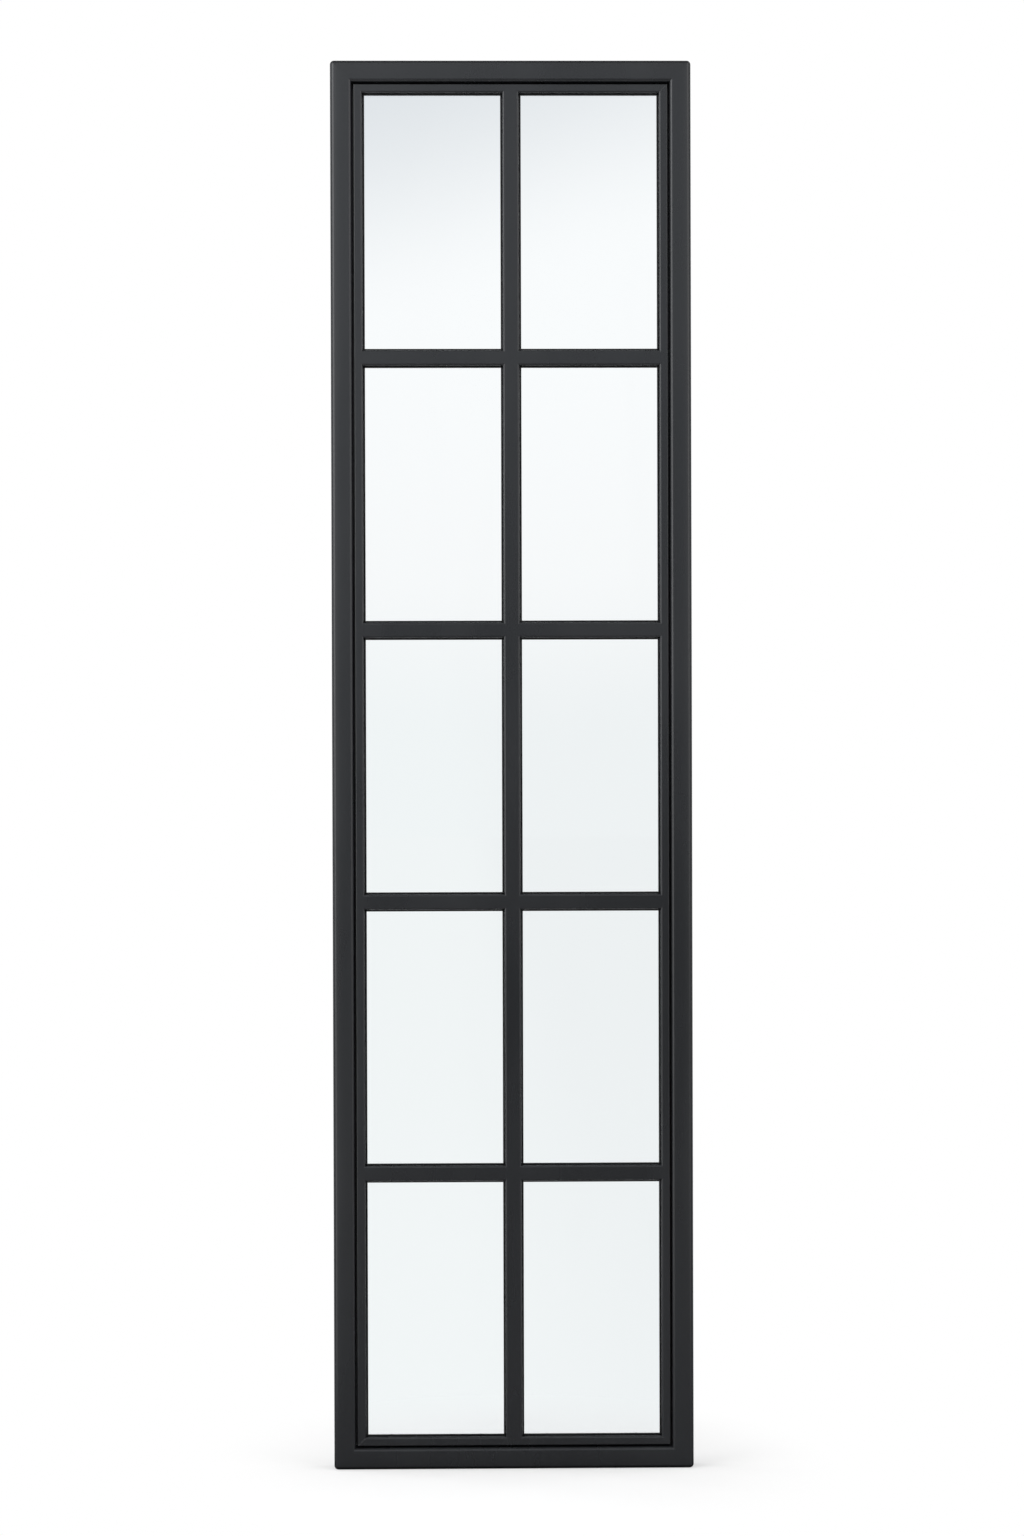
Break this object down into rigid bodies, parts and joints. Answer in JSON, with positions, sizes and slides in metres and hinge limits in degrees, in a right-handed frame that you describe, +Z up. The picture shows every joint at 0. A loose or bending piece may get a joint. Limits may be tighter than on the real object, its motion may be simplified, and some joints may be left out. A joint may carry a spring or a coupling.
{
  "type": "steel framed window",
  "caption": "Tall narrow steel framed window: a mitred tubular frame around a fixed inner sash with slim glazing bars, clear panes set in rubber gaskets and beads at the back.",
  "frame": {"origin": "middle of the underside of the sill, half way through the depth of the frame", "axes": "+X to the right seen from the front, +Y from the front to the back, +Z up"},
  "size_m": [0.537, 0.034, 2.1],
  "materials": {
    "charcoal_paint": "satin charcoal powder coat",
    "black_rubber": "matt black",
    "clear_glass": "clear polished"
  },
  "bodies": {
    "root": {"frame_head": "charcoal_paint", "frame_sill": "charcoal_paint", "frame_left_jamb": "charcoal_paint", "frame_right_jamb": "charcoal_paint", "sash_top_rail": "charcoal_paint", "sash_bottom_rail": "charcoal_paint", "sash_left_stile": "charcoal_paint", "sash_right_stile": "charcoal_paint", "mullion_bar": "charcoal_paint", "transom_bar_1": "charcoal_paint", "transom_bar_2": "charcoal_paint", "transom_bar_3": "charcoal_paint", "transom_bar_4": "charcoal_paint", "glazing_beads_1_left": "charcoal_paint", "glazing_beads_1_right": "charcoal_paint", "glazing_beads_2_left": "charcoal_paint", "glazing_beads_2_right": "charcoal_paint", "glazing_beads_3_left": "charcoal_paint", "glazing_beads_3_right": "charcoal_paint", "glazing_beads_4_left": "charcoal_paint", "glazing_beads_4_right": "charcoal_paint", "glazing_beads_5_left": "charcoal_paint", "glazing_beads_5_right": "charcoal_paint", "weather_seal": "black_rubber", "glazing_gasket_1_left": "black_rubber", "glazing_gasket_1_right": "black_rubber", "glazing_gasket_2_left": "black_rubber", "glazing_gasket_2_right": "black_rubber", "glazing_gasket_3_left": "black_rubber", "glazing_gasket_3_right": "black_rubber", "glazing_gasket_4_left": "black_rubber", "glazing_gasket_4_right": "black_rubber", "glazing_gasket_5_left": "black_rubber", "glazing_gasket_5_right": "black_rubber", "glass_pane_1_left": "clear_glass", "glass_pane_1_right": "clear_glass", "glass_pane_2_left": "clear_glass", "glass_pane_2_right": "clear_glass", "glass_pane_3_left": "clear_glass", "glass_pane_3_right": "clear_glass", "glass_pane_4_left": "clear_glass", "glass_pane_4_right": "clear_glass", "glass_pane_5_left": "clear_glass", "glass_pane_5_right": "clear_glass"}
  },
  "joints": []
}
